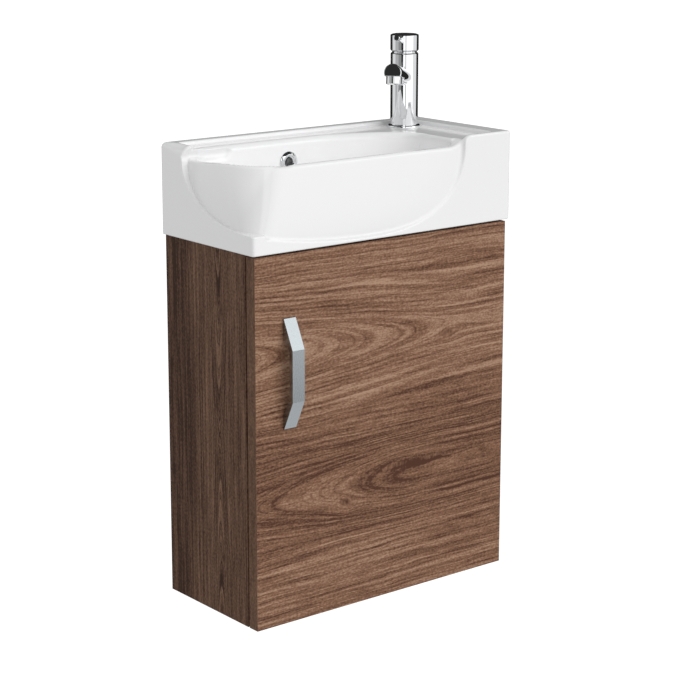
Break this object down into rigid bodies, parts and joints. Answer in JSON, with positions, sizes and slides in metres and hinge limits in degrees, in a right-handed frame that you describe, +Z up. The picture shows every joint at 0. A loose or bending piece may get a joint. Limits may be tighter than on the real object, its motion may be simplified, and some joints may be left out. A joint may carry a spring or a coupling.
{
  "type": "wall-hung cloakroom vanity unit",
  "caption": "Narrow wall-hung cloakroom vanity: walnut cabinet with a hinged door and bow handle, ceramic basin with side tap deck, single-lever mixer tap.",
  "frame": {"origin": "centre of the four wall fixing holes, on the wall plane", "axes": "+X to the viewer's right, +Y into the wall, +Z up; the door faces -Y"},
  "size_m": [0.45, 0.225, 0.7683],
  "materials": {
    "walnut_front": "satin, walnut figure with the grain across the door",
    "walnut_side": "satin, dark walnut figure with upright grain",
    "beech": "bare",
    "zinc_steel": "zinc plated",
    "satin_metal": "satin nickel",
    "white_plastic": "matte",
    "ceramic": "gloss glaze",
    "chrome": "polished",
    "rubber": "matte",
    "brass": "bare",
    "cartridge_plastic": "smooth"
  },
  "bodies": {
    "cabinet": {"side_panel_left": "walnut_side", "side_panel_right": "walnut_side", "bottom_panel": "walnut_side", "front_rail": "walnut_side", "hanging_rail": "walnut_side", "lower_rail": "walnut_side", "shelf": "walnut_side", "shelf_pins": "zinc_steel", "cam_locks": "zinc_steel", "cam_bolts": "zinc_steel", "wood_dowels": "beech", "hanger_left": "white_plastic", "hanger_right": "white_plastic", "hanger_hook_left": "zinc_steel", "hanger_hook_right": "zinc_steel", "wall_plate_left": "zinc_steel", "wall_plate_right": "zinc_steel", "hanger_screws": "zinc_steel", "hinge_plate_top": "zinc_steel", "hinge_plate_bottom": "zinc_steel", "hinge_arm_top": "zinc_steel", "hinge_arm_bottom": "zinc_steel", "hinge_plate_screws": "zinc_steel", "hinge_arm_screws": "zinc_steel", "basin": "ceramic", "overflow_ring": "chrome", "waste_flange_seal": "rubber", "waste_body": "chrome", "waste_seal": "rubber", "waste_nut": "white_plastic", "trap_nut": "chrome", "trap_body": "chrome", "trap_dip_tube": "white_plastic", "trap_cup": "chrome", "trap_outlet_nut": "chrome", "trap_outlet": "chrome", "tap_base_ring": "chrome", "tap_body": "chrome", "tap_spout": "chrome", "tap_aerator": "chrome", "tap_cartridge": "cartridge_plastic", "tap_cartridge_nut": "brass", "tap_stud": "brass", "tap_washer": "rubber", "tap_nut": "brass"},
    "door": {"door_panel": "walnut_front", "door_bumpers": "white_plastic", "door_handle": "satin_metal", "handle_screws": "zinc_steel", "hinge_cup_top": "zinc_steel", "hinge_cup_bottom": "zinc_steel", "hinge_pin_top": "zinc_steel", "hinge_pin_bottom": "zinc_steel", "hinge_cup_screws": "zinc_steel"},
    "push_plug": {"waste_plug": "chrome"},
    "tap_swivel": {"tap_stem": "brass"},
    "tap_handle": {"tap_cap": "chrome", "tap_lever": "chrome", "tap_pivot_pin": "zinc_steel"}
  },
  "joints": [
    {"name": "door_swing", "type": "hinge", "parent": "cabinet", "child": "door", "pos_m": [0.213, -0.1945, -0.2005], "axis": [0, 0, 1], "range_deg": [0, 105]},
    {"name": "plug_slide", "type": "slide", "parent": "cabinet", "child": "push_plug", "axis": [0, 0, 1], "range_m": [0, 0.008]},
    {"name": "tap_turn", "type": "hinge", "parent": "cabinet", "child": "tap_swivel", "pos_m": [0.165, -0.046, 0.298], "axis": [0, 0, 1], "range_deg": [-45, 45]},
    {"name": "lever_lift", "type": "hinge", "parent": "tap_swivel", "child": "tap_handle", "pos_m": [0.165, -0.046, 0.298], "axis": [-0.6428, 0.766, 0], "range_deg": [0, 20]}
  ]
}
